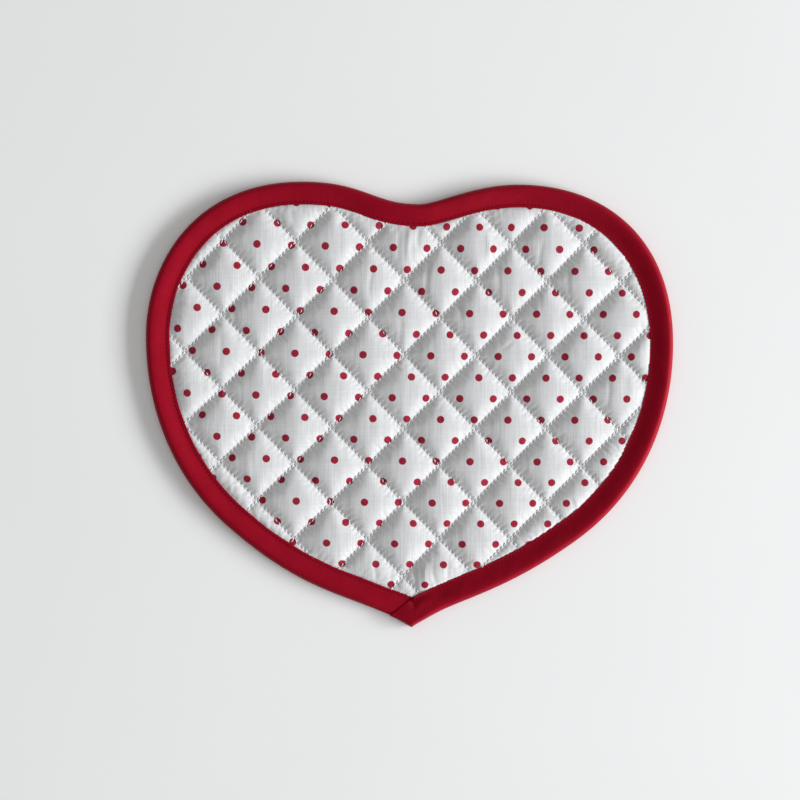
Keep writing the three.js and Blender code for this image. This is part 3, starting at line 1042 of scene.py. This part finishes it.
def printed_cotton(weave):
    """White cotton with its dots printed on the face alone."""
    material, w, shader = new_material("printed_cotton", WHITE)
    coords = w.put("ShaderNodeTexCoord")
    where = coords.outputs["Object"]
    shade = add_weave(w, shader, weave, w.scaled(where, 1 / YARN_PITCH), 1.0, PANEL_WEAVE_DEPTH)
    cloth = w.mix(w.scale_range(shade, 0.25, 0.75, 0, 1), WHITE_SHADE, WHITE)
    ragged = w.math("SUBTRACT", w.noise(where, RAGGED_SCALE), 0.5)
    far = w.math("ADD", dot_distance(w, coords.outputs["Normal"]),
                 w.math("MULTIPLY", ragged, RAGGED_REACH))
    dot = w.scale_range(far, DOT_RADIUS + DOT_BLEED[0], DOT_RADIUS + DOT_BLEED[1], 1, 0, True)
    _, _, height = w.split(where)
    on_face = w.math("GREATER_THAN", height, FACE_ABOVE)
    ink = w.math("MULTIPLY", w.math("MULTIPLY", dot, on_face),
                 w.scale_range(shade, 0.2, 0.8, 0.95, 1.0))
    w.join(w.mix(ink, cloth, CRIMSON), shader.inputs["Base Color"])
    w.join(w.scale_range(shade, 0.2, 0.8, 0.92, 0.80), shader.inputs["Roughness"])
    shader.inputs["Specular IOR Level"].default_value = 0.06
    return material


def red_cotton(weave):
    """Red tape, woven straight along its length, a little smoother than the panel."""
    material, w, shader = new_material("red_cotton", RED)
    place = w.scaled(w.put("ShaderNodeUVMap", uv_map="tape").outputs[0], MM / YARN_PITCH)
    shade = add_weave(w, shader, weave, place, 0.8, TAPE_WEAVE_DEPTH)
    wear = w.noise(w.put("ShaderNodeTexCoord").outputs["Object"], WEAR_SCALE, 3.0, 0.6)
    tone = w.math("ADD", w.math("MULTIPLY", shade, 0.5), w.math("MULTIPLY", wear, 0.5))
    colour = w.mix(w.scale_range(tone, 0.3, 0.7, 0, 1), RED_SHADE, RED)
    w.join(colour, shader.inputs["Base Color"])
    w.join(w.scale_range(shade, 0.2, 0.8, 0.60, 0.50), shader.inputs["Roughness"])
    shader.inputs["Specular IOR Level"].default_value = 0.6
    shader.inputs["Specular Tint"].default_value = RED_SHEEN
    return material


def sewing_thread(name, light, painted_groove_shade, roughness):
    """Twisted thread: the ply winds round each stitch, with painted shade in the grooves between
    the plies.
    """
    material, w, shader = new_material(name, light)
    around, along, _ = w.split(w.put("ShaderNodeUVMap", uv_map="wound").outputs[0])
    wound = w.math("ADD", w.math("MULTIPLY", around, PLY_AROUND),
                   w.math("MULTIPLY", along, PLY_ALONG))
    ply = w.math("SINE", w.math("MULTIPLY", wound, TURN))
    # darker where the ply is low: painted shade in the grooves between the plies
    w.join(w.mix(w.scale_range(ply, -1, 1, 0, 1), painted_groove_shade, light), shader.inputs["Base Color"])
    w.bump(shader, ply, PLY_DEPTH)
    rough = w.scale_range(ply, -1, 1, roughness + 0.1, roughness)
    w.join(rough, shader.inputs["Roughness"])
    shader.inputs["Specular IOR Level"].default_value = 0.12
    return material


def pale_floor():
    material, w, shader = new_material("pale_floor", (0.9, 0.9, 0.9))
    grain = w.noise(w.put("ShaderNodeTexCoord").outputs["Object"], FLOOR_GRAIN_SCALE)
    w.join(w.mix(grain, PALE, PALER), shader.inputs["Base Color"])
    shader.inputs["Roughness"].default_value = 0.9
    return material


# ---------------------------------------------------------------- the pieces

weave = plain_weave()
panel = quilted_panel(printed_cotton(weave))
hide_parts("quilted_panel")
tape = binding(red_cotton(weave))
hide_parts("binding")
white_thread = sewing_thread("white_thread", WHITE_THREAD, WHITE_THREAD_PAINTED_SHADE, 0.55)
red_thread = sewing_thread("red_thread", RED_THREAD, RED_THREAD_PAINTED_SHADE, 0.6)
row_stitches = quilting_stitches(panel, white_thread, True, "quilting_stitches", thickness=0.66)
back_stitches = quilting_stitches(panel, white_thread, False, "bobbin_stitches", thickness=0.4)
edge_stitches = tape_stitches(tape, red_thread, True, "tape_stitches", thickness=0.45)
edge_back_stitches = tape_stitches(tape, red_thread, False, "tape_bobbin_stitches", thickness=0.35)

# ---------------------------------------------------------------- floor, light and camera

# All in metres, but for the camera's sensor
VIEW_CENTRE = (-6.30 * MM, 3.05 * MM, 3 * MM)
VIEW_WIDTH = 530.7 * MM
CAMERA_HEIGHT = 1.3
SENSOR = 36
FLOOR_HALF = 4
FLOOR_BELOW = 0.1 * MM
ROOM_LIGHT = (1.0, 1.0, 0.985, 1)
ROOM_STRENGTH = 0.43


def floor():
    bm = bmesh.new()
    bmesh.ops.create_grid(bm, x_segments=1, y_segments=1, size=FLOOR_HALF)
    mesh = mesh_of(bm, "floor")
    mesh.materials.append(pale_floor())
    ground = bpy.data.objects.new("floor", mesh)
    bpy.context.scene.collection.objects.link(ground)
    ground.location.z = -FLOOR_BELOW


def soft_light(name, azimuth, elevation, distance, size, power, colour):
    """A broad lamp that faces the mat."""
    lamp = bpy.data.lights.new(name, "AREA")
    lamp.shape = "RECTANGLE"
    lamp.size, lamp.size_y = size
    lamp.energy = power
    lamp.color = colour
    light = bpy.data.objects.new(name, lamp)
    bpy.context.scene.collection.objects.link(light)
    a, e = math.radians(azimuth), math.radians(elevation)
    towards = Vector((math.cos(e) * math.cos(a), math.cos(e) * math.sin(a), math.sin(e)))
    light.location = towards * distance
    light.rotation_euler = (-light.location).to_track_quat("-Z", "Y").to_euler()


def room_light():
    world = bpy.data.worlds.new("room")
    bpy.context.scene.world = world
    world.use_nodes = True
    background = world.node_tree.nodes["Background"]
    background.inputs["Color"].default_value = ROOM_LIGHT
    background.inputs["Strength"].default_value = ROOM_STRENGTH


def camera_above():
    lens = bpy.data.cameras.new("camera")
    lens.sensor_width = SENSOR
    lens.lens = SENSOR * (CAMERA_HEIGHT - VIEW_CENTRE[2]) / VIEW_WIDTH
    camera = bpy.data.objects.new("camera", lens)
    camera.location = (VIEW_CENTRE[0], VIEW_CENTRE[1], CAMERA_HEIGHT)
    bpy.context.scene.collection.objects.link(camera)
    bpy.context.scene.camera = camera


floor()
soft_light("window", azimuth=-11, elevation=17, distance=4.5, size=(3.6, 1.0), power=364,
           colour=(0.975, 0.987, 1.0))
room_light()
camera_above()
bpy.context.scene.view_settings.view_transform = "Standard"
